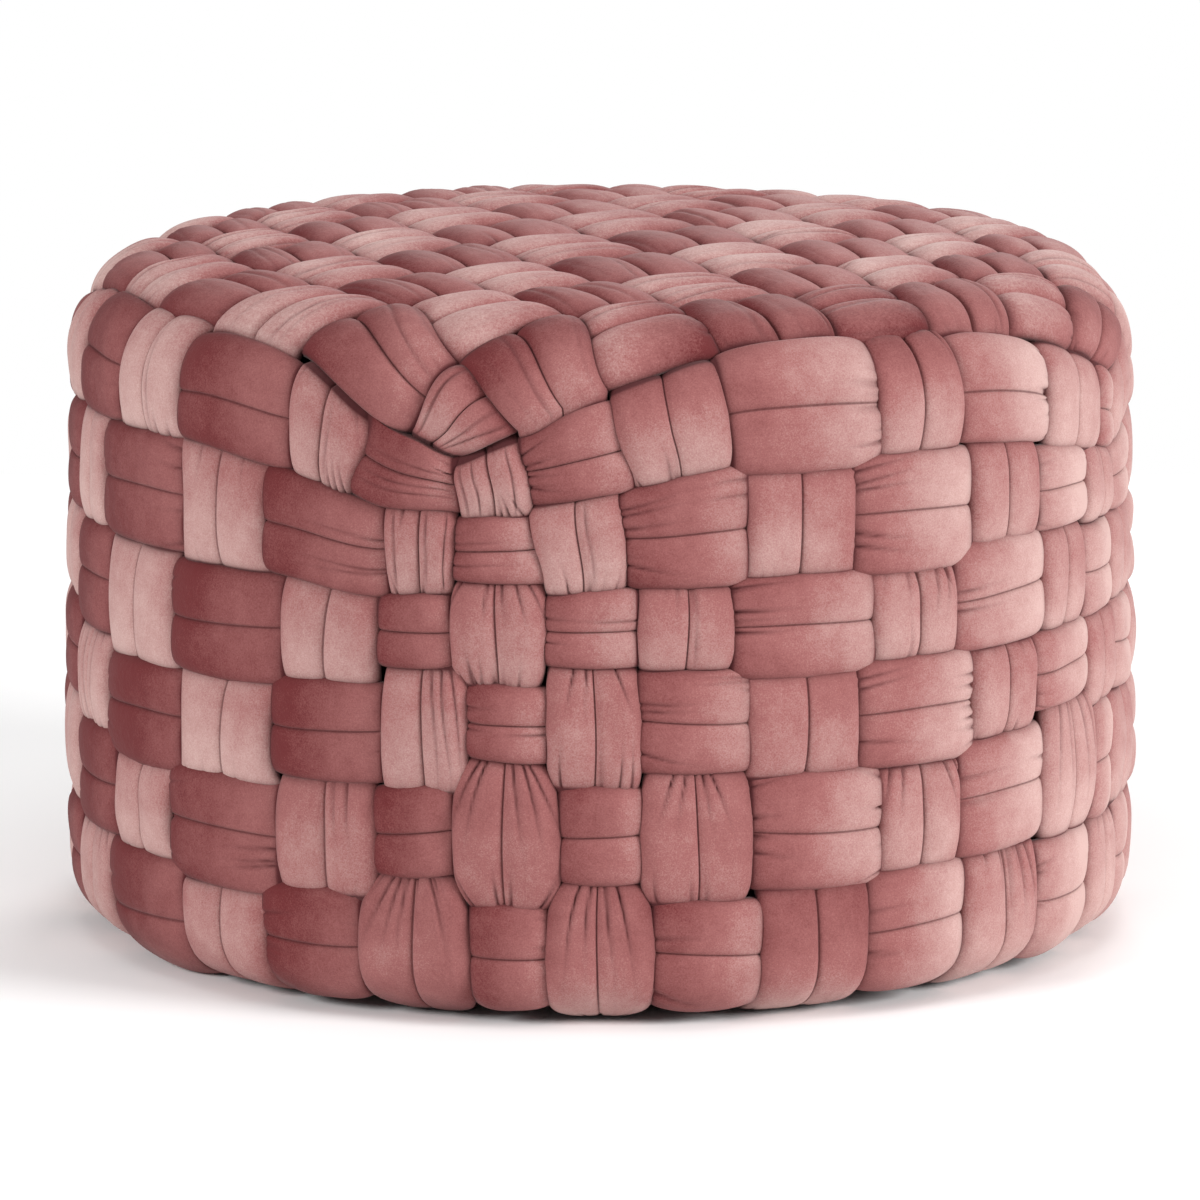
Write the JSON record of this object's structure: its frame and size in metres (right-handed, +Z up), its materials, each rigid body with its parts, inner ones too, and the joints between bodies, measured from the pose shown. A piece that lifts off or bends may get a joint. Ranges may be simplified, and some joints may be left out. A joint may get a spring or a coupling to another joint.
{
  "type": "round woven ottoman",
  "caption": "Round stuffed ottoman covered in thick padded velvet strips woven over and under each other, with a flat underside.",
  "frame": {"origin": "centre of the flat underside, on the floor", "axes": "+Z up through the round body, -Y towards the side that faces the camera, +X to its right"},
  "size_m": [0.6023, 0.6024, 0.3827],
  "materials": {
    "velvet_a": "dusty pink velvet with its nap lying dark",
    "velvet_b": "dusty pink velvet with its nap lying light",
    "velvet_band": "dusty pink velvet",
    "body_cloth": "plain matt cloth"
  },
  "bodies": {
    "root": {"strip_a_1": "velvet_a", "strip_a_2": "velvet_a", "strip_a_3": "velvet_a", "strip_a_4": "velvet_a", "strip_a_5": "velvet_a", "strip_a_6": "velvet_a", "strip_a_7": "velvet_a", "strip_a_8": "velvet_a", "strip_b_1": "velvet_b", "strip_b_2": "velvet_b", "strip_b_3": "velvet_b", "strip_b_4": "velvet_b", "strip_b_5": "velvet_b", "strip_b_6": "velvet_b", "strip_b_7": "velvet_b", "strip_b_8": "velvet_b", "band_1": "velvet_band", "band_2": "velvet_band", "band_3": "velvet_band", "band_4": "velvet_band", "band_5": "velvet_band", "band_6": "velvet_band", "stuffed_body": "body_cloth"}
  },
  "joints": []
}
